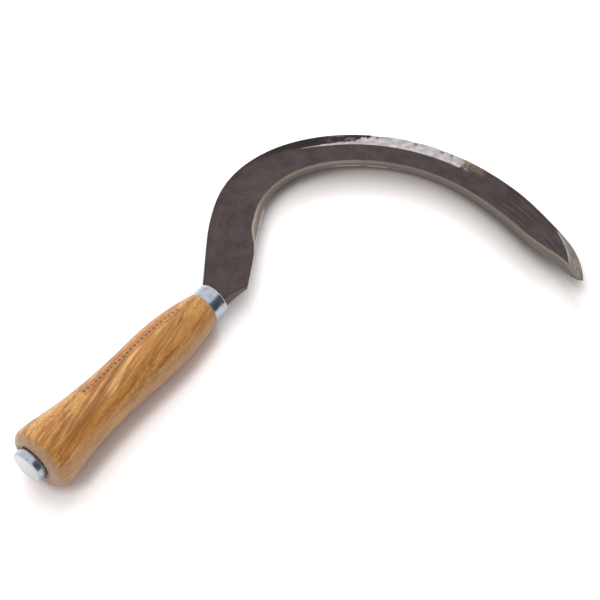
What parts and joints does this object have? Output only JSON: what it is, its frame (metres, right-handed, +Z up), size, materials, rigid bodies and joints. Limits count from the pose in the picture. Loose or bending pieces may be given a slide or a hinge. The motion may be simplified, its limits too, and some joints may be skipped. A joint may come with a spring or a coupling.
{
  "type": "sickle",
  "caption": "Hand sickle: forged crescent blade with a raised back and a ground inner edge, on a turned wooden handle with a ferrule and a blind nut at the butt.",
  "frame": {"origin": "centre of the bottom of the lying tool's box, on the surface it rests on", "axes": "+X along the handle from the butt towards the blade, +Y to the handle's left, where the blade first bends, +Z up from the surface"},
  "size_m": [0.3248, 0.1994, 0.0389],
  "materials": {
    "forged_steel": "dark forging skin under clear lacquer, with a ground grey bevel at the edge and a polished raised back",
    "bright_zinc": "bright zinc plate",
    "turned_wood": "honey-brown hardwood with dark streaks along the grain, under a satin varnish"
  },
  "bodies": {
    "root": {"blade": "forged_steel", "ferrule": "bright_zinc", "handle": "turned_wood", "washer": "bright_zinc", "cap_nut": "bright_zinc"}
  },
  "joints": []
}
